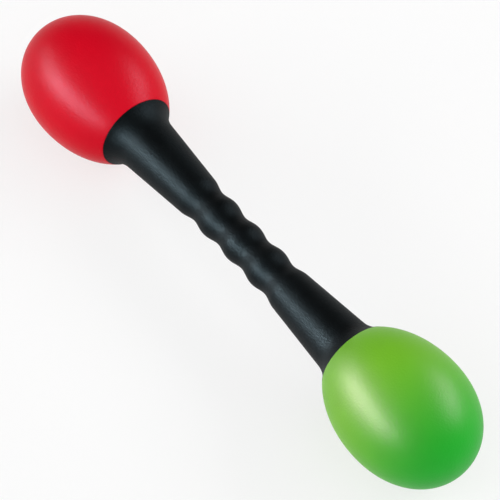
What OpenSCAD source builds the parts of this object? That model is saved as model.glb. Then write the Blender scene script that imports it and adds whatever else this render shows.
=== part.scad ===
// Double shaker: two egg rattles on the ends of one moulded handle, lying on a table.
// Sizes are in millimetres. +X runs along the handle to the green egg, and +Z is up.
// The table is at Z = 0, with the origin on it under the middle of the grip.

/* [Eggs] */
// Largest diameter of each egg
egg_d = 45; // [42:0.5:50]
// Length from the widest ring to the blunt outer tip
egg_tip_l = 28.8; // [26:0.1:33]
// Length from the widest ring to where the narrow end would come to a point
egg_neck_l = 32.7; // [30:0.1:36]
// Fullness of the blunt end, where 2 is a plain ellipse
tip_fullness = 2.1; // [2:0.05:2.4]
// Wall of each shell
shell_wall = 1.6; // [1.2:0.1:2.2]
// Wall of the narrow end, where the filling mouth is cut
mouth_wall = 3.4; // [3:0.1:4]
// Diameter of the filling mouth
mouth_d = 13; // [11:0.5:14]
// Width of the flat end face around the mouth
mouth_land = 2.8; // [2.4:0.1:3.2]
// Depth of the seat in the narrow end that takes the cup's lip
seat = 0.7; // [0.5:0.05:0.9]

/* [Handle] */
// Length of the handle from rim to rim
handle_l = 122.1; // [114:0.1:150]
// Outer diameter of the cups at their rims
rim_d = 28.5; // [27.8:0.1:30]
// Thickness of the cup's lip at the rim
lip = 0.8; // [0.7:0.05:1.2]
// Length of the flare from the shaft out to the rim
flare_l = 7.7; // [6.5:0.1:9]
// Diameter of the shaft where the flare begins
neck_d = 20.7; // [20:0.1:22]
// Diameter of the shaft where the grip begins
shoulder_d = 16.1; // [15.6:0.1:18]
// Wall of the shaft around the spigot's socket
shaft_wall = 2.4; // [2:0.1:2.8]
// Depth of the socket behind the cup's floor
socket_l = 14; // [10:0.5:18]
// Width of the ledge that stops the spigot
stop_step = 0.9; // [0.6:0.1:1.2]

/* [Grip] */
// Diameter of the middle of the grip
grip_d = 15; // [14:0.1:15.6]
// Number of finger grooves
groove_n = 4; // [2:1:5]
// Distance from groove to groove
groove_pitch = 13.15; // [11:0.05:14]
// Depth of each finger groove
groove_depth = 1.1; // [0.4:0.05:1.4]
// Bore through the grip
grip_bore_d = 9.2; // [7:0.1:9.6]

/* [Spigots] */
// Thickness of the spigot's flange between the shell and the cup's floor
flange_t = 1.2; // [0.9:0.1:1.6]
// Wall of the spigot
spigot_wall = 1.5; // [1.2:0.1:1.8]
// Height of the crown that closes the mouth
crown_h = 0.9; // [0.5:0.1:1.6]
// Room left under the spigot's end in the socket
socket_room = 0.4; // [0.2:0.1:0.8]

/* [Pellets] */
// Diameter of a pellet
pellet_d = 4; // [3:0.1:4.4]
// Rows of the bed on each side of the widest ring
bed_rows = 3; // [2:1:3]
// Files of the bed on each side of the rolling file
bed_files = 2; // [2:1:3]
// Pellets of the rolling file on each side of its middle one
rolling_half_n = 2; // [1:1:2]
// Pellets along each file of the upper layer
thrown_n = 4; // [2:1:4]
// How far the upper layer stands in from the bed, in pellet diameters
layer_step = 0.88; // [0.86:0.01:1]

/* [Fits] */
// Gap between a shell and the cup that holds it
cup_gap = 0.12; // [0.1:0.01:0.2]
// Gap for glue around a spigot
glue_gap = 0.1; // [0.05:0.01:0.2]
// Gap around a pellet at rest
pellet_gap = 0.15; // [0.1:0.01:0.2]

/* [Hidden] */
$fn = 64;
curve_steps = 26;
wave_steps = 14;
egg_r = egg_d / 2;
axis_z = egg_r;
rim_r = rim_d / 2;
rim_s = handle_l / 2;

// The egg's narrow half steps in to a seat, and the cup follows the seat one gap outside it
seat_er = egg_r - seat;
seat_el = egg_neck_l - seat;
cup_er = seat_er + cup_gap;
cup_el = seat_el + cup_gap;
rim_x = cup_el * sqrt(1 - pow((rim_r - lip) / cup_er, 2));
step_x = rim_x - cup_gap;
egg_s = rim_s + rim_x;

// Inside of the shell, and where its mouth lies along the axis
inner_r = egg_r - shell_wall;
inner_tip_l = egg_tip_l - shell_wall;
inner_neck_l = egg_neck_l - mouth_wall;
mouth_r = mouth_d / 2;
mouth_x = seat_el * sqrt(1 - pow((mouth_r + mouth_land) / seat_er, 2));
mouth_lip_x = inner_neck_l * sqrt(1 - pow(mouth_r / inner_r, 2));
mouth_s = egg_s - mouth_x;
floor_s = mouth_s - flange_t;
cup_floor_r = cup_er * sqrt(1 - pow(mouth_x / cup_el, 2));

// Shaft, socket and bore
shoulder_s = groove_n * groove_pitch / 2;
shoulder_r = shoulder_d / 2;
neck_s = rim_s - flare_l;
neck_r = neck_d / 2;
shaft_slope = (neck_r - shoulder_r) / (neck_s - shoulder_s);
stop_s = floor_s - socket_l;
bore_s = shoulder_s - groove_pitch / 2;

// Flare: an arc that leaves the shaft in line with it and ends on the rim
shaft_angle = atan(shaft_slope);
flare_along = flare_l * cos(shaft_angle) + (rim_r - neck_r) * sin(shaft_angle);
flare_across = (rim_r - neck_r) * cos(shaft_angle) - flare_l * sin(shaft_angle);
flare_turn = 2 * atan(flare_across / flare_along);
flare_r = flare_along / sin(flare_turn);

// Spigot
plug_r = mouth_r - glue_gap;
plug_s = egg_s - mouth_lip_x;
flange_r = mouth_r + mouth_land - glue_gap;
tube_end_s = stop_s + socket_room;

// Egg-shaped surface that the pellets' middles lie on
pellet_inset = pellet_d / 2 + pellet_gap;
track_r = inner_r - pellet_inset;
track_tip_l = inner_tip_l - pellet_inset;
track_neck_l = inner_neck_l - pellet_inset;
pellet_pitch = pellet_d + pellet_gap;
roll_r = 0.9 * pow(track_tip_l, 2) / track_r;

// Profile points are [radius, distance along the axis]
function tip_curve(r, l) = [
  for (i = [0 : curve_steps])
    let (t = 90 * i / curve_steps)
    [r * pow(sin(t), 2 / tip_fullness), egg_s + l * pow(cos(t), 2 / tip_fullness)]
];

function neck_curve(r, l, from_x, to_x) = [
  for (i = [0 : curve_steps])
    let (start = asin(from_x / l))
    let (t = start + (asin(to_x / l) - start) * i / curve_steps)
    [r * cos(t), egg_s - l * sin(t)]
];

function backward(points) = [for (i = [len(points) - 1 : -1 : 0]) points[i]];

function without_first(points) = [for (i = [1 : len(points) - 1]) points[i]];

// Radius of the grip, with grooves that fade out at its two shoulders
function grip_radius(s) =
  let (swell = (shoulder_r - grip_d / 2) * pow(s / shoulder_s, 2))
  let (groove = (1 - cos(360 * (s / groove_pitch + groove_n / 2))) / 2)
  grip_d / 2 + swell - groove_depth * groove;

function shaft_radius(s) = shoulder_r + shaft_slope * (s - shoulder_s);

function socket_radius(s) = shaft_radius(s) - shaft_wall;

function tube_radius(s) = socket_radius(s) - glue_gap;

function grip_curve() = [
  for (i = [0 : wave_steps * groove_n])
    let (s = shoulder_s * i / (wave_steps * groove_n))
    [grip_radius(s), s]
];

function flare_curve() = [
  for (i = [0 : curve_steps / 2])
    let (t = flare_turn * i / (curve_steps / 2))
    let (along = flare_r * sin(t))
    let (across = flare_r * (1 - cos(t)))
    [
      neck_r + along * sin(shaft_angle) + across * cos(shaft_angle),
      neck_s + along * cos(shaft_angle) - across * sin(shaft_angle)
    ]
];

// Half of the handle, from the middle of the grip out over the rim and back along the bore
function handle_half() = concat(
  grip_curve(),
  flare_curve(),
  neck_curve(cup_er, cup_el, rim_x, mouth_x),
  [
    [cup_floor_r, floor_s],
    [socket_radius(floor_s), floor_s],
    [socket_radius(stop_s), stop_s],
    [socket_radius(stop_s) - stop_step, stop_s],
    [grip_bore_d / 2, bore_s]
  ]
);

function handle_points() =
  let (half = handle_half())
  concat(half, [for (p = backward(without_first(half))) [p[0], -p[1]]]);

function shell_points() = concat(
  tip_curve(egg_r, egg_tip_l),
  without_first(neck_curve(egg_r, egg_neck_l, 0, step_x)),
  neck_curve(seat_er, seat_el, step_x, mouth_x),
  [[mouth_r, mouth_s]],
  backward(neck_curve(inner_r, inner_neck_l, 0, mouth_lip_x)),
  without_first(backward(tip_curve(inner_r, inner_tip_l)))
);

function crown_curve(r, s) = [
  for (i = [0 : curve_steps / 2])
    let (t = 180 * i / curve_steps)
    [r * sin(t), s + crown_h * cos(t)]
];

function spigot_points() = concat(
  crown_curve(plug_r, plug_s),
  [
    [plug_r, mouth_s],
    [flange_r, mouth_s],
    [flange_r, floor_s],
    [tube_radius(floor_s), floor_s],
    [tube_radius(tube_end_s), tube_end_s],
    [tube_radius(tube_end_s) - spigot_wall, tube_end_s],
    [tube_radius(floor_s) - spigot_wall, floor_s]
  ],
  backward(crown_curve(plug_r - spigot_wall, plug_s - spigot_wall))
);

// Distance from the egg's axis to a pellet at rest on the wall
function track_radius(x) =
  x < 0
    ? track_r * sqrt(1 - pow(x / track_neck_l, 2))
    : track_r * pow(1 - pow(x / track_tip_l, tip_fullness), 1 / tip_fullness);

// Angle from one file of pellets to the next, seen from the egg's axis
function file_angle(x) = 2 * asin(pellet_pitch / 2 / track_radius(x));

module turned(points) {
  translate([0, 0, axis_z])
    rotate([0, 90, 0])
      rotate_extrude()
        polygon(points);
}

module pellet(x, r, angle) {
  translate([egg_s + x, r * sin(angle), axis_z - r * cos(angle)])
    sphere(d = pellet_d);
}

// Pellet some way in from the bed's layer, and some files to the side of the lane
module wall_pellet(x, inward, files) {
  pellet(x, track_radius(x) - inward, files * file_angle(x));
}

// Moulded handle with the grip, the two shafts and the two cups
module handle() {
  color("#26292b")
    turned(handle_points());
}

// Hollow egg with its narrow end stepped in for the cup and cut open
module shell() {
  turned(shell_points());
}

// Stopper for the mouth, with the tube that is glued into the handle
module spigot() {
  color("#e4e1d8")
    turned(spigot_points());
}

// Pellets that lie on the wall, with a lane left free between them
module bed_pellets() {
  color("#aeb2b6")
    for (row = [-bed_rows : bed_rows])
      for (file = [1 : bed_files])
        for (side = [-1, 1])
          wall_pellet(row * pellet_pitch, 0, side * file);
}

// File of pellets that rolls lengthwise along the free lane
module rolling_pellets() {
  roll_step = 2 * asin(pellet_pitch / 2 / roll_r);
  color("#aeb2b6")
    for (k = [-rolling_half_n : rolling_half_n])
      pellet(roll_r * sin(k * roll_step), track_r - roll_r * (1 - cos(k * roll_step)), 0);
}

// Upper layer, in the pockets between the bed's first two files
module thrown_pellets() {
  color("#aeb2b6")
    for (k = [0 : thrown_n - 1])
      for (side = [-1, 1])
        wall_pellet((k - (thrown_n - 1) / 2) * pellet_pitch, layer_step * pellet_d, side * 1.5);
}

module green_shell() {
  color("#6fb92f")
    shell();
}

module red_shell() {
  color("#cf141f")
    mirror([1, 0, 0])
      shell();
}

module green_spigot() {
  spigot();
}

module red_spigot() {
  mirror([1, 0, 0])
    spigot();
}

module green_bed_pellets() {
  bed_pellets();
}

module red_bed_pellets() {
  mirror([1, 0, 0])
    bed_pellets();
}

module green_rolling_pellets() {
  rolling_pellets();
}

module red_rolling_pellets() {
  mirror([1, 0, 0])
    rolling_pellets();
}

module green_thrown_pellets() {
  thrown_pellets();
}

module red_thrown_pellets() {
  mirror([1, 0, 0])
    thrown_pellets();
}

handle();
red_shell();
green_shell();
red_spigot();
green_spigot();
red_bed_pellets();
green_bed_pellets();
red_rolling_pellets();
green_rolling_pellets();
red_thrown_pellets();
green_thrown_pellets();
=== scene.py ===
"""Double shaker: two egg rattles of satin plastic on one black moulded handle.

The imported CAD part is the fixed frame. The handle and the two shells are turned again here, with
finer curves and rounded edges. The stoppers and the pellets inside keep their CAD shapes. Every
piece gets a finish made of nodes, and a small studio with the photograph's camera is set up.
"""

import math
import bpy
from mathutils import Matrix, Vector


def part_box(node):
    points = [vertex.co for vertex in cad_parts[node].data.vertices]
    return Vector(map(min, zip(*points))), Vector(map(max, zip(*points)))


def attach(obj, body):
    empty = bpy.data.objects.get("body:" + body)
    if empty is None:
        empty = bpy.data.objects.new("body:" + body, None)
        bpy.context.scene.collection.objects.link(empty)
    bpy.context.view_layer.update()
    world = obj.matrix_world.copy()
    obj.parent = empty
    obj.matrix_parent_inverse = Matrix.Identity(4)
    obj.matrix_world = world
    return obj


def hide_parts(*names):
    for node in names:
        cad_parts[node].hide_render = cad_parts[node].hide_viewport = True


bl_info = {
    "name": "Double Shaker",
    "version": (1, 0, 0),
    "blender": (4, 5, 0),
    "location": "View3D > Sidebar > Shaker",
    "description": "Models a double shaker, its finishes and a small studio",
    "category": "Object",
}

import bmesh
import bpy
from mathutils import Matrix, Vector

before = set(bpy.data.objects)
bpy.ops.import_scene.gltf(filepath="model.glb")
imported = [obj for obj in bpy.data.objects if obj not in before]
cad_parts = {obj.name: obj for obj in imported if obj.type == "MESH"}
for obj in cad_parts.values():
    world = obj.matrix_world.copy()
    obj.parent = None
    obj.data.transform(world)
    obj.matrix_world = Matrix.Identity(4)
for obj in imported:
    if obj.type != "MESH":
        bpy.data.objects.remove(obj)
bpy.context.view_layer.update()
MM = 0.001
TURN_STEPS = 128
MERGE_DISTANCE = 0.002 * MM
RING_TOLERANCE = 0.01 * MM
SMOOTH_ANGLE = math.radians(40)
# Most of a noise texture's values lie between these two
NOISE_SPAN = {"From Min": 0.3, "From Max": 0.7}
EGG_LOW, EGG_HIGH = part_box("green_shell")
HANDLE_LOW, HANDLE_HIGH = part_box("handle")
AXIS_Z = (EGG_LOW.z + EGG_HIGH.z) / 2
BODY = "shaker"


def linear(hex_colour):
    """Linear RGB of an sRGB hex colour."""
    parts = [int(hex_colour[i : i + 2], 16) / 255 for i in (1, 3, 5)]
    return [c / 12.92 if c <= 0.04045 else ((c + 0.055) / 1.055) ** 2.4 for c in parts]


class ShakerEgg(bpy.types.PropertyGroup):
    """Sizes of the two egg shells."""

    width: bpy.props.FloatProperty(
        name="Width", description="Largest diameter of each egg",
        default=EGG_HIGH.z - EGG_LOW.z, unit="LENGTH", precision=4)
    tip_length: bpy.props.FloatProperty(
        name="Tip length", description="From the widest ring to the blunt outer tip",
        default=28.8 * MM, unit="LENGTH", precision=4)
    neck_length: bpy.props.FloatProperty(
        name="Neck length", description="From the widest ring to where the narrow end would close",
        default=32.7 * MM, unit="LENGTH", precision=4)
    fullness: bpy.props.FloatProperty(
        name="Fullness", description="Exponent of the blunt end, where 2 is an ellipse",
        default=2.1, subtype="FACTOR")
    wall: bpy.props.FloatProperty(
        name="Wall", description="Wall of each shell",
        default=1.6 * MM, unit="LENGTH", precision=4)
    mouth_wall: bpy.props.FloatProperty(
        name="Mouth wall", description="Wall of the narrow end at the filling mouth",
        default=3.4 * MM, unit="LENGTH", precision=4)
    mouth: bpy.props.FloatProperty(
        name="Mouth", description="Diameter of the filling mouth",
        default=13 * MM, unit="LENGTH", precision=4)
    land: bpy.props.FloatProperty(
        name="Land", description="Width of the flat end face around the mouth",
        default=2.8 * MM, unit="LENGTH", precision=4)
    seat: bpy.props.FloatProperty(
        name="Lip seat", description="Depth of the seat in the narrow end that takes the cup's lip",
        default=0.7 * MM, unit="LENGTH", precision=5)


class ShakerHandle(bpy.types.PropertyGroup):
    """Sizes of the handle."""

    length: bpy.props.FloatProperty(
        name="Length", description="Length from rim to rim",
        default=HANDLE_HIGH.x - HANDLE_LOW.x, unit="LENGTH", precision=4)
    rim: bpy.props.FloatProperty(
        name="Rim", description="Outer diameter of the cups at their rims",
        default=HANDLE_HIGH.z - HANDLE_LOW.z, unit="LENGTH", precision=4)
    lip: bpy.props.FloatProperty(
        name="Lip", description="Thickness of the cup's lip at the rim",
        default=0.8 * MM, unit="LENGTH", precision=5)
    lip_round: bpy.props.FloatProperty(
        name="Lip rounding", description="Radius along the outer edge of the lip",
        default=0.15 * MM, unit="LENGTH", precision=5)
    flare: bpy.props.FloatProperty(
        name="Flare", description="Length of the flare from the shaft out to the rim",
        default=7.7 * MM, unit="LENGTH", precision=4)
    neck: bpy.props.FloatProperty(
        name="Neck", description="Diameter of the shaft where the flare begins",
        default=20.7 * MM, unit="LENGTH", precision=4)
    shoulder: bpy.props.FloatProperty(
        name="Shoulder", description="Diameter of the shaft where the grip begins",
        default=16.1 * MM, unit="LENGTH", precision=4)
    shaft_wall: bpy.props.FloatProperty(
        name="Shaft wall", description="Wall of the shaft around the stopper's socket",
        default=2.4 * MM, unit="LENGTH", precision=4)
    socket: bpy.props.FloatProperty(
        name="Socket", description="Depth of the socket behind the cup's floor",
        default=14 * MM, unit="LENGTH", precision=4)
    stop: bpy.props.FloatProperty(
        name="Stop", description="Width of the ledge at the bottom of the socket",
        default=0.9 * MM, unit="LENGTH", precision=5)
    flange: bpy.props.FloatProperty(
        name="Flange", description="Room for the stopper's flange on the cup's floor",
        default=1.2 * MM, unit="LENGTH", precision=4)
    gap: bpy.props.FloatProperty(
        name="Gap", description="Gap between a shell and the cup that holds it",
        default=0.12 * MM, unit="LENGTH", precision=5)
    grip: bpy.props.FloatProperty(
        name="Grip", description="Diameter of the middle of the grip",
        default=15 * MM, unit="LENGTH", precision=4)
    bore: bpy.props.FloatProperty(
        name="Bore", description="Diameter of the bore through the grip",
        default=9.2 * MM, unit="LENGTH", precision=4)
    grooves: bpy.props.IntProperty(
        name="Grooves", description="Number of finger grooves", default=4)
    pitch: bpy.props.FloatProperty(
        name="Pitch", description="Distance from groove to groove",
        default=13.15 * MM, unit="LENGTH", precision=4)
    depth: bpy.props.FloatProperty(
        name="Depth", description="Depth of each finger groove",
        default=1.1 * MM, unit="LENGTH", precision=4)


class ShakerFinish(bpy.types.PropertyGroup):
    """Colours of the plastics and the shot, and where the lime ends."""

    red: bpy.props.FloatVectorProperty(
        name="Red", description="Colour of the red shell",
        default=linear("#ce071f"), subtype="COLOR")
    lime: bpy.props.FloatVectorProperty(
        name="Lime", description="Colour of the green shell towards the handle",
        default=linear("#70b81f"), subtype="COLOR")
    lime_end: bpy.props.FloatProperty(
        name="Lime end", description="How far before the widest ring the lime begins to change",
        default=11.6 * MM, unit="LENGTH", precision=4)
    green: bpy.props.FloatVectorProperty(
        name="Green", description="Colour of the green shell at its tip",
        default=linear("#04a420"), subtype="COLOR")
    black: bpy.props.FloatVectorProperty(
        name="Black", description="Colour of the handle",
        default=linear("#050505"), subtype="COLOR")
    natural: bpy.props.FloatVectorProperty(
        name="Natural", description="Colour of the stoppers",
        default=linear("#e4e1d8"), subtype="COLOR")
    steel: bpy.props.FloatVectorProperty(
        name="Steel", description="Colour of the steel shot",
        default=linear("#c2c0bb"), subtype="COLOR")


class ShakerStage(bpy.types.PropertyGroup):
    """Floor, lamps and camera."""

    floor: bpy.props.FloatVectorProperty(
        name="Floor", description="Colour of the floor",
        default=linear("#f4f4f4"), subtype="COLOR")
    white: bpy.props.FloatProperty(
        name="White", description="Share of pure white in the floor, as the eye sees it",
        default=0.7, subtype="FACTOR", min=0, max=1)
    room: bpy.props.FloatVectorProperty(
        name="Room", description="Colour of the room around the floor",
        default=linear("#f4f4f4"), subtype="COLOR")
    key_power: bpy.props.FloatProperty(
        name="Key", description="Power of the soft box on the left",
        default=8.5, unit="POWER")
    key_strip_power: bpy.props.FloatProperty(
        name="Key strip", description="Power of the strip on the left that only the shine shows",
        default=5.9, unit="POWER")
    key_sheen_power: bpy.props.FloatProperty(
        name="Key sheen", description="Power that only the shine shows of the soft box on the left",
        default=26.0, unit="POWER")
    side_power: bpy.props.FloatProperty(
        name="Side", description="Power of the soft box on the right",
        default=9.1, unit="POWER")
    side_strip_power: bpy.props.FloatProperty(
        name="Side strip", description="Power of the strip on the right that only the shine shows",
        default=30.0, unit="POWER")
    fill_power: bpy.props.FloatProperty(
        name="Fill", description="Strength of the broad light from the front",
        default=2.25)
    lens: bpy.props.FloatProperty(
        name="Lens", description="Focal length on a sensor 36 mm wide",
        default=259.34, subtype="DISTANCE_CAMERA")


def add_node(tree, kind, settings=None, values=None, links=None):
    """Adds a node, sets its options and socket values, and links sockets to outputs."""
    node = tree.nodes.new(kind)
    for option, value in (settings or {}).items():
        setattr(node, option, value)
    for socket, value in (values or {}).items():
        node.inputs[socket].default_value = value
    for socket, source in (links or {}).items():
        tree.links.new(source, node.inputs[socket])
    return node


def new_material(name):
    """An empty node material and its tree."""
    material = bpy.data.materials.new(name)
    material.use_nodes = True
    material.node_tree.nodes.clear()
    return material, material.node_tree


def per_mm(size):
    """Scale of a pattern whose features are this many millimetres across."""
    return 1 / (size * MM)


def only(piece):
    """Makes one object the only selected and active one."""
    bpy.ops.object.select_all(action="DESELECT")
    piece.select_set(True)
    bpy.context.view_layer.objects.active = piece


def paint(piece, material):
    """Gives a piece one material."""
    piece.data.materials.clear()
    piece.data.materials.append(material)


def turn(name, profile):
    """Extrudes a line through profile points and spins it about the handle's axis.

    Points are (radius, distance along the axis) in metres.
    """
    bpy.ops.object.select_all(action="DESELECT")
    bpy.ops.mesh.primitive_plane_add(size=MM)
    piece = bpy.context.object
    piece.name = piece.data.name = name
    bpy.ops.object.mode_set(mode="EDIT")
    bpy.ops.mesh.select_mode(type="VERT")
    bpy.ops.mesh.select_all(action="SELECT")
    bpy.ops.mesh.merge(type="CENTER")
    line = [Vector((along, 0, AXIS_Z + radius)) for radius, along in profile]
    bpy.ops.transform.translate(value=line[0])
    for here, there in zip(line, line[1:]):
        bpy.ops.mesh.extrude_region_move(TRANSFORM_OT_translate={"value": there - here})
    bpy.ops.mesh.select_all(action="SELECT")
    bpy.ops.mesh.spin(steps=TURN_STEPS, angle=math.tau, center=(0, 0, AXIS_Z), axis=(1, 0, 0))
    bpy.ops.mesh.select_all(action="SELECT")
    bpy.ops.mesh.remove_doubles(threshold=MERGE_DISTANCE)
    bpy.ops.mesh.normals_make_consistent(inside=False)
    bpy.ops.object.mode_set(mode="OBJECT")
    return piece


def round_rings(piece, radius, along, width, segments):
    """Bevels the rings of edges at one radius and one distance from the middle, on both halves."""
    only(piece)
    bpy.ops.object.mode_set(mode="EDIT")
    bpy.ops.mesh.select_mode(type="EDGE")
    bpy.ops.mesh.select_all(action="DESELECT")
    mesh = bmesh.from_edit_mesh(piece.data)
    found = 0
    for edge in mesh.edges:
        ends = [(abs(v.co.x), math.hypot(v.co.y, v.co.z - AXIS_Z)) for v in edge.verts]
        if all(max(abs(x - along), abs(r - radius)) < RING_TOLERANCE for x, r in ends):
            edge.select = True
            found += 1
    if not found:
        raise RuntimeError(f"{piece.name} has no ring at {radius / MM:.2f} mm")
    bmesh.update_edit_mesh(piece.data)
    bpy.ops.mesh.bevel(offset=width, segments=segments, profile=0.5, affect="EDGES")
    bpy.ops.object.mode_set(mode="OBJECT")


def finish_piece(piece, node, material):
    """Smooths a new piece, paints it and sets it in the place of its CAD node."""
    only(piece)
    bpy.ops.object.shade_smooth_by_angle(angle=SMOOTH_ANGLE)
    paint(piece, material)
    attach(piece, BODY)
    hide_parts(node)


def arc(count):
    """Steps from 0 to 1."""
    return [i / count for i in range(count + 1)]


class Layout:
    """Places along the axis that the egg and the handle share, in metres."""

    def __init__(self, egg, handle):
        self.egg_r = egg.width / 2
        self.seat_r, self.seat_l = self.egg_r - egg.seat, egg.neck_length - egg.seat
        self.cup_r, self.cup_l = self.seat_r + handle.gap, self.seat_l + handle.gap
        self.rim_s = handle.length / 2
        self.rim_r = handle.rim / 2
        self.rim_x = self.cup_l * math.sqrt(1 - ((self.rim_r - handle.lip) / self.cup_r) ** 2)
        self.step_x = self.rim_x - handle.gap
        self.egg_s = self.rim_s + self.rim_x
        self.mouth_r = egg.mouth / 2
        self.end_r = self.mouth_r + egg.land
        self.mouth_x = self.seat_l * math.sqrt(1 - (self.end_r / self.seat_r) ** 2)
        self.floor_s = self.egg_s - self.mouth_x - handle.flange
        self.shoulder_s = handle.grooves * handle.pitch / 2
        self.neck_s = self.rim_s - handle.flare
        self.slope = (handle.neck - handle.shoulder) / 2 / (self.neck_s - self.shoulder_s)

    def tip_curve(self, radius, length, power, steps):
        """Blunt end of an egg, from its pole to its widest ring."""
        points = []
        for t in arc(steps):
            turn_by = t * math.pi / 2
            points.append((radius * math.sin(turn_by) ** (2 / power),
                           self.egg_s + length * math.cos(turn_by) ** (2 / power)))
        points[0] = (0.0, points[0][1])
        points[-1] = (radius, self.egg_s)
        return points

    def neck_curve(self, radius, length, from_x, to_x, steps):
        """Narrow end of an egg between two distances from its widest ring."""
        start, end = math.asin(from_x / length), math.asin(to_x / length)
        angles = [start + (end - start) * t for t in arc(steps)]
        return [(radius * math.cos(a), self.egg_s - length * math.sin(a)) for a in angles]


def shell_profile(egg, handle):
    """Outside of a shell from its tip to its mouth, and back along the inside."""
    at = Layout(egg, handle)
    inner_r, inner_l = at.egg_r - egg.wall, egg.neck_length - egg.mouth_wall
    lip_x = inner_l * math.sqrt(1 - (at.mouth_r / inner_r) ** 2)
    outside = at.tip_curve(at.egg_r, egg.tip_length, egg.fullness, steps=44)
    outside += at.neck_curve(at.egg_r, egg.neck_length, 0, at.step_x, steps=36)[1:]
    outside += at.neck_curve(at.seat_r, at.seat_l, at.step_x, at.mouth_x, steps=8)
    inside = at.tip_curve(inner_r, egg.tip_length - egg.wall, egg.fullness, steps=24)
    inside += at.neck_curve(inner_r, inner_l, 0, lip_x, steps=20)[1:]
    return outside + [(at.mouth_r, at.egg_s - at.mouth_x)] + inside[::-1]


def grip_radius(handle, at, s):
    """Radius of the grip, with grooves that fade out at its two shoulders."""
    swell = (handle.shoulder - handle.grip) / 2 * (s / at.shoulder_s) ** 2
    wave = (1 - math.cos(math.tau * (s / handle.pitch + handle.grooves / 2))) / 2
    return handle.grip / 2 + swell - handle.depth * wave


def flare_curve(handle, at, steps):
    """Arc that leaves the shaft in line with it and ends on the rim."""
    lean, rise = math.atan(at.slope), at.rim_r - handle.neck / 2
    along = handle.flare * math.cos(lean) + rise * math.sin(lean)
    across = rise * math.cos(lean) - handle.flare * math.sin(lean)
    sweep = 2 * math.atan2(across, along)
    bend = along / math.sin(sweep)
    points = []
    for t in arc(steps):
        u, v = bend * math.sin(sweep * t), bend * (1 - math.cos(sweep * t))
        points.append((handle.neck / 2 + u * math.sin(lean) + v * math.cos(lean),
                       at.neck_s + u * math.cos(lean) - v * math.sin(lean)))
    return points


def handle_profile(egg, handle):
    """Outside of the handle from end to end, and back through the bore."""
    at = Layout(egg, handle)

    def socket_r(s):
        return handle.shoulder / 2 + at.slope * (s - at.shoulder_s) - handle.shaft_wall

    stop_s = at.floor_s - handle.socket
    cup_floor_r = at.cup_r * math.sqrt(1 - (at.mouth_x / at.cup_l) ** 2)
    grip_steps, shaft_steps = arc(48), arc(10)
    half = [(grip_radius(handle, at, at.shoulder_s * t), at.shoulder_s * t) for t in grip_steps]
    half += [(handle.shoulder / 2 + at.slope * (at.neck_s - at.shoulder_s) * t,
              at.shoulder_s + (at.neck_s - at.shoulder_s) * t) for t in shaft_steps[1:-1]]
    half += flare_curve(handle, at, steps=20)
    half += at.neck_curve(at.cup_r, at.cup_l, at.rim_x, at.mouth_x, steps=20)
    half += [(cup_floor_r, at.floor_s), (socket_r(at.floor_s), at.floor_s),
             (socket_r(stop_s), stop_s), (socket_r(stop_s) - handle.stop, stop_s),
             (handle.bore / 2, at.shoulder_s - handle.pitch / 2)]
    mirrored = [(radius, -along) for radius, along in half[1:]]
    return half + mirrored[::-1] + half[:1]


def dull_limb(tree, roughness):
    """Roughness that rises at grazing angles, where the grain hides its own bright sides."""
    edge = add_node(tree, "ShaderNodeLayerWeight", values={"Blend": 0.5})
    extra = add_node(tree, "ShaderNodeMapRange", values={
        "From Min": 0.3, "From Max": 0.9, "To Min": 0.0, "To Max": 0.15},
        links={"Value": edge.outputs["Facing"]})
    return add_node(tree, "ShaderNodeMath", settings={"operation": "ADD"}, links={
        0: roughness, 1: extra.outputs["Result"]}).outputs["Value"]


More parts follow.
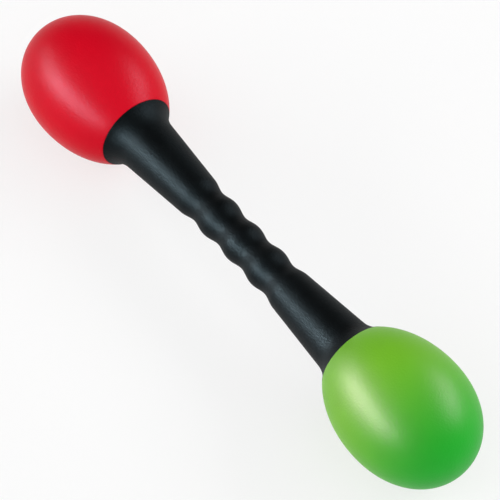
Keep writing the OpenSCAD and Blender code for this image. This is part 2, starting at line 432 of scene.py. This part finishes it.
def satin_plastic(name, near, far=None, blend=(0, 1), *, roughness, shine, tint, depth):
    """Injection-moulded polypropylene from a spark-eroded mould.

    The fine eggshell grain breaks up the edges of highlights and leaves a soft sheen, and slow
    flow of the melt leaves the colour a little uneven. Pigment right under the skin tints the
    sheen. Depth is that of the grain. Where a second colour is given, the batch changes to it
    along the shell's axis.
    """
    material, tree = new_material(name)
    place = add_node(tree, "ShaderNodeTexCoord").outputs["Object"]
    flow = add_node(tree, "ShaderNodeTexNoise", values={
        "Scale": per_mm(26), "Detail": 2.0, "Roughness": 0.45}, links={"Vector": place})
    # Real grain is about 0.2 mm; it is drawn coarser so that it shows
    grain = add_node(tree, "ShaderNodeTexNoise", values={
        "Scale": per_mm(0.75), "Detail": 2.0, "Roughness": 0.6}, links={"Vector": place})
    waviness = add_node(tree, "ShaderNodeTexNoise", values={
        "Scale": per_mm(7), "Detail": 1.0}, links={"Vector": place})
    sheen = add_node(tree, "ShaderNodeMapRange", values={
        **NOISE_SPAN, "To Min": roughness - 0.03, "To Max": roughness + 0.03},
        links={"Value": grain.outputs["Fac"]})
    slow = add_node(tree, "ShaderNodeBump", values={
        "Strength": 0.25, "Distance": 0.05 * MM}, links={"Height": waviness.outputs["Fac"]})
    bump = add_node(tree, "ShaderNodeBump", values={
        "Strength": 0.8, "Distance": depth},
        links={"Height": grain.outputs["Fac"], "Normal": slow.outputs["Normal"]})
    shade = add_node(tree, "ShaderNodeHueSaturation", values={"Color": (*near, 1)})
    if far is not None:
        axis = add_node(tree, "ShaderNodeSeparateXYZ", links={"Vector": place})
        share = add_node(tree, "ShaderNodeMapRange", settings={
            "interpolation_type": "SMOOTHSTEP"}, values={
            "From Min": blend[0], "From Max": blend[1]}, links={"Value": axis.outputs["X"]})
        colour = add_node(tree, "ShaderNodeMix", settings={"data_type": "RGBA"}, values={
            6: (*near, 1), 7: (*far, 1)}, links={"Factor": share.outputs["Result"]})
        tree.links.new(colour.outputs[2], shade.inputs["Color"])
    lightness = add_node(tree, "ShaderNodeMapRange", values={
        **NOISE_SPAN, "To Min": 0.97, "To Max": 1.03},
        links={"Value": flow.outputs["Fac"]})
    tree.links.new(lightness.outputs["Result"], shade.inputs["Value"])
    surface = add_node(tree, "ShaderNodeBsdfPrincipled", values={
        "IOR": 1.49, "Specular IOR Level": shine, "Specular Tint": (*tint, 1)}, links={
        "Base Color": shade.outputs["Color"],
        "Roughness": sheen.outputs["Result"],
        "Normal": bump.outputs["Normal"]})
    add_node(tree, "ShaderNodeOutputMaterial", links={"Surface": surface.outputs["BSDF"]})
    return material


def grained_black(name, colour):
    """Moulded ABS with a matt, sand-like mould texture.

    The texture spreads each highlight into a soft grey streak with a fine sparkle in it, and the
    soot in the plastic leaves the sheen a cool grey.
    """
    material, tree = new_material(name)
    place = add_node(tree, "ShaderNodeTexCoord").outputs["Object"]
    # Real spark-eroded grain is about 0.2 mm; it is drawn coarser so that it shows
    grit = add_node(tree, "ShaderNodeTexNoise", values={
        "Scale": per_mm(0.5), "Detail": 2.0, "Roughness": 0.6}, links={"Vector": place})
    patches = add_node(tree, "ShaderNodeTexNoise", values={
        "Scale": per_mm(11), "Detail": 2.0}, links={"Vector": place})
    sheen = add_node(tree, "ShaderNodeMapRange", values={
        **NOISE_SPAN, "To Min": 0.4, "To Max": 0.46},
        links={"Value": patches.outputs["Fac"]})
    tone = add_node(tree, "ShaderNodeMapRange", values={
        **NOISE_SPAN, "To Min": 0.4, "To Max": 1.6},
        links={"Value": grit.outputs["Fac"]})
    shade = add_node(tree, "ShaderNodeHueSaturation", values={"Color": (*colour, 1)},
                     links={"Value": tone.outputs["Result"]})
    bump = add_node(tree, "ShaderNodeBump", values={
        "Strength": 0.8, "Distance": 0.18 * MM}, links={"Height": grit.outputs["Fac"]})
    surface = add_node(tree, "ShaderNodeBsdfPrincipled", values={
        "IOR": 1.5, "Specular IOR Level": 0.083, "Specular Tint": (0.58, 0.86, 1.0, 1)}, links={
        "Base Color": shade.outputs["Color"],
        "Roughness": dull_limb(tree, sheen.outputs["Result"]),
        "Normal": bump.outputs["Normal"]})
    add_node(tree, "ShaderNodeOutputMaterial", links={"Surface": surface.outputs["BSDF"]})
    return material


def natural_plastic(name, colour):
    """Unpigmented polypropylene, milky and slightly cloudy, with a soft shine."""
    material, tree = new_material(name)
    place = add_node(tree, "ShaderNodeTexCoord").outputs["Object"]
    cloud = add_node(tree, "ShaderNodeTexNoise", values={
        "Scale": per_mm(4), "Detail": 2.0}, links={"Vector": place})
    tone = add_node(tree, "ShaderNodeMapRange", values={
        **NOISE_SPAN, "To Min": 0.94, "To Max": 1.0},
        links={"Value": cloud.outputs["Fac"]})
    shade = add_node(tree, "ShaderNodeHueSaturation", values={"Color": (*colour, 1)},
                     links={"Value": tone.outputs["Result"]})
    surface = add_node(tree, "ShaderNodeBsdfPrincipled", values={
        "IOR": 1.49, "Roughness": 0.35}, links={"Base Color": shade.outputs["Color"]})
    add_node(tree, "ShaderNodeOutputMaterial", links={"Surface": surface.outputs["BSDF"]})
    return material


def steel_shot(name, colour):
    """Tumbled steel shot, bright with fine dull scuffs from rolling on each other."""
    material, tree = new_material(name)
    place = add_node(tree, "ShaderNodeTexCoord").outputs["Object"]
    scuffs = add_node(tree, "ShaderNodeTexNoise", values={
        "Scale": per_mm(0.6), "Detail": 3.0, "Roughness": 0.7}, links={"Vector": place})
    sheen = add_node(tree, "ShaderNodeMapRange", values={
        **NOISE_SPAN, "To Min": 0.22, "To Max": 0.42},
        links={"Value": scuffs.outputs["Fac"]})
    tone = add_node(tree, "ShaderNodeMapRange", values={
        **NOISE_SPAN, "To Min": 0.9, "To Max": 1.0},
        links={"Value": scuffs.outputs["Fac"]})
    shade = add_node(tree, "ShaderNodeHueSaturation", values={"Color": (*colour, 1)},
                     links={"Value": tone.outputs["Result"]})
    surface = add_node(tree, "ShaderNodeBsdfPrincipled", values={"Metallic": 1.0}, links={
        "Base Color": shade.outputs["Color"], "Roughness": sheen.outputs["Result"]})
    add_node(tree, "ShaderNodeOutputMaterial", links={"Surface": surface.outputs["BSDF"]})
    return material


class SHAKER_OT_handle(bpy.types.Operator):
    """Turn the black handle with its finger grooves, flares and cups"""

    bl_idname = "shaker.handle"
    bl_label = "Handle"

    def execute(self, context):
        scene = context.scene
        egg, handle = scene.shaker_egg, scene.shaker_handle
        piece = turn("handle_moulding", handle_profile(egg, handle))
        rim_s, rim_r = handle.length / 2, handle.rim / 2
        round_rings(piece, rim_r, rim_s, handle.lip_round, segments=4)
        round_rings(piece, rim_r - handle.lip, rim_s, handle.lip_round / 3, segments=2)
        finish_piece(piece, "handle", grained_black("grained_black_abs", scene.shaker_finish.black))
        return {"FINISHED"}


class SHAKER_OT_eggs(bpy.types.Operator):
    """Turn the green shell and the red one opposite to it"""

    bl_idname = "shaker.eggs"
    bl_label = "Eggs"

    def execute(self, context):
        scene = context.scene
        egg, handle, finish = scene.shaker_egg, scene.shaker_handle, scene.shaker_finish
        profile = shell_profile(egg, handle)
        at = Layout(egg, handle)
        green = turn("green_egg", profile)
        red = turn("red_egg", [(radius, -along) for radius, along in profile])
        blend = (at.egg_s - finish.lime_end, at.egg_s + egg.tip_length)
        finish_piece(green, "green_shell", satin_plastic(
            "satin_green_polypropylene", finish.lime, finish.green, blend, roughness=0.46,
            shine=0.35, tint=(0.65, 0.42, 0.53), depth=0.08 * MM))
        finish_piece(red, "red_shell", satin_plastic(
            "satin_red_polypropylene", finish.red, roughness=0.37, shine=0.06,
            tint=(0.8, 0.77, 1.0), depth=0.13 * MM))
        return {"FINISHED"}


class SHAKER_OT_inside(bpy.types.Operator):
    """Give the stoppers and the shot inside the eggs their finishes"""

    bl_idname = "shaker.inside"
    bl_label = "Stoppers and shot"

    def execute(self, context):
        finish = context.scene.shaker_finish
        stopper = natural_plastic("natural_polypropylene", finish.natural)
        shot = steel_shot("tumbled_steel_shot", finish.steel)
        for name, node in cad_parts.items():
            if name.endswith("_spigot"):
                paint(node, stopper)
            elif name.endswith("_pellets"):
                paint(node, shot)
        return {"FINISHED"}


def aim(lamp, target):
    """Turns a lamp to face a point."""
    lamp.rotation_euler = (Vector(target) - lamp.location).to_track_quat("-Z", "Y").to_euler()


class SHAKER_OT_stage(bpy.types.Operator):
    """Set up the floor, the soft boxes and the camera"""

    bl_idname = "shaker.stage"
    bl_label = "Stage"

    def execute(self, context):
        scene, stage = context.scene, context.scene.shaker_stage
        scene.view_settings.view_transform = "Standard"
        bpy.ops.object.select_all(action="DESELECT")
        # A hair below the eggs, so that nothing lies in one plane with it
        bpy.ops.mesh.primitive_plane_add(size=24, location=(0, 0, -0.1 * MM))
        floor = context.object
        floor.name = "floor"
        material, tree = new_material("matt_white_paper")
        paper = add_node(tree, "ShaderNodeBsdfDiffuse", values={"Color": (*stage.floor, 1)})
        # The paper glows white to the eye and in reflections, and keeps part of its shadows
        rays = add_node(tree, "ShaderNodeLightPath")
        seen = add_node(tree, "ShaderNodeMath", settings={"operation": "MAXIMUM"}, links={
            0: rays.outputs["Is Camera Ray"], 1: rays.outputs["Is Glossy Ray"]})
        seen = add_node(tree, "ShaderNodeMath", settings={"operation": "MAXIMUM"}, links={
            0: seen.outputs["Value"], 1: rays.outputs["Is Transmission Ray"]})
        share = add_node(tree, "ShaderNodeMath", settings={"operation": "MULTIPLY"}, values={
            1: stage.white}, links={0: seen.outputs["Value"]})
        glow = add_node(tree, "ShaderNodeEmission", values={"Color": (1, 1, 1, 1), "Strength": 1.0})
        surface = add_node(tree, "ShaderNodeMixShader", links={
            0: share.outputs["Value"], 1: paper.outputs["BSDF"], 2: glow.outputs["Emission"]})
        add_node(tree, "ShaderNodeOutputMaterial", links={"Surface": surface.outputs["Shader"]})
        paint(floor, material)

        centre = (0, 0, AXIS_Z)
        key_place, key_size = (-0.863, -0.937, 0.468), (1.35, 0.27)
        side_place, side_size = (0.375, 1.057, 0.765), (1.22, 0.54)
        strip_place, strip_size = (-0.072, -0.294, 0.150), (0.46, 0.059)
        fill_place, fill_spread = (0.6, -0.3, 1.0), math.radians(120)
        # The last value says whether a lamp lights matt colours or shows in the shine alone
        lamps = [
            ("key_soft_box", key_place, key_size, stage.key_power, True),
            ("key_sheen", key_place, key_size, stage.key_sheen_power, False),
            ("key_strip", strip_place, strip_size, stage.key_strip_power, False),
            ("side_soft_box", side_place, side_size, stage.side_power, True),
            ("side_strip", side_place, side_size, stage.side_strip_power, False),
        ]
        for name, place, size, power, matt in lamps:
            bpy.ops.object.light_add(type="AREA", location=place)
            lamp = context.object
            lamp.name = lamp.data.name = name
            lamp.data.shape = "RECTANGLE"
            lamp.data.size, lamp.data.size_y = size
            lamp.data.energy = power
            lamp.visible_diffuse = matt
            aim(lamp, centre)
        bpy.ops.object.light_add(type="SUN", location=fill_place)
        fill = context.object
        fill.name = fill.data.name = "front_fill"
        fill.data.energy, fill.data.angle = stage.fill_power, fill_spread
        fill.visible_glossy = False
        aim(fill, centre)

        # A pale band along the horizon carries the floor on, and the ceiling is dim
        band_top, ceiling_low, ceiling = 0.06, 0.12, (0.03, 0.03, 0.03, 1)
        world = bpy.data.worlds.new("dim_room")
        scene.world = world
        world.use_nodes = True
        tree = world.node_tree
        tree.nodes.clear()
        towards = add_node(tree, "ShaderNodeTexCoord").outputs["Generated"]
        height = add_node(tree, "ShaderNodeSeparateXYZ", links={"Vector": towards})
        share = add_node(tree, "ShaderNodeMapRange", settings={
            "interpolation_type": "SMOOTHSTEP"}, values={
            "From Min": band_top, "From Max": ceiling_low}, links={"Value": height.outputs["Z"]})
        colour = add_node(tree, "ShaderNodeMix", settings={"data_type": "RGBA"}, values={
            6: (*stage.room, 1), 7: ceiling}, links={"Factor": share.outputs["Result"]})
        light = add_node(tree, "ShaderNodeBackground", links={"Color": colour.outputs[2]})
        add_node(tree, "ShaderNodeOutputWorld", links={"Surface": light.outputs["Background"]})

        bpy.ops.object.camera_add()
        camera = context.object
        camera.name = "camera"
        # Fitted to the photograph's outline
        right, up = Vector((0.6062, 0.7953, 0)), Vector((-0.6276, 0.4783, 0.6143))
        back, eye = Vector((0.4886, -0.3723, 0.7891)), Vector((0.59498, -0.45068, 0.97758))
        turned = Matrix((right, up, back)).transposed().to_4x4()
        camera.matrix_world = Matrix.Translation(eye) @ turned
        camera.data.sensor_width, camera.data.lens = 36, stage.lens
        camera.data.clip_start, camera.data.clip_end = 0.01, 100
        scene.camera = camera
        return {"FINISHED"}


class SHAKER_PT_panel(bpy.types.Panel):
    """Sizes, colours and build steps of the shaker"""

    bl_idname = "SHAKER_PT_panel"
    bl_label = "Double Shaker"
    bl_space_type = "VIEW_3D"
    bl_region_type = "UI"
    bl_category = "Shaker"

    def draw(self, context):
        for operator in OPERATORS:
            self.layout.operator(operator.bl_idname)
        for name in GROUPS:
            box = self.layout.box()
            group = getattr(context.scene, name)
            for key in group.bl_rna.properties.keys():
                if key not in {"rna_type", "name"}:
                    box.prop(group, key)


GROUPS = {
    "shaker_egg": ShakerEgg,
    "shaker_handle": ShakerHandle,
    "shaker_finish": ShakerFinish,
    "shaker_stage": ShakerStage,
}
OPERATORS = (SHAKER_OT_handle, SHAKER_OT_eggs, SHAKER_OT_inside, SHAKER_OT_stage)


def register():
    for kind in (*GROUPS.values(), *OPERATORS, SHAKER_PT_panel):
        bpy.utils.register_class(kind)
    for name, kind in GROUPS.items():
        setattr(bpy.types.Scene, name, bpy.props.PointerProperty(type=kind))


def unregister():
    for name in GROUPS:
        delattr(bpy.types.Scene, name)
    for kind in (SHAKER_PT_panel, *OPERATORS, *GROUPS.values()):
        bpy.utils.unregister_class(kind)


def main():
    register()
    bpy.ops.shaker.handle()
    bpy.ops.shaker.eggs()
    bpy.ops.shaker.inside()
    bpy.ops.shaker.stage()


if __name__ == "__main__":
    main()
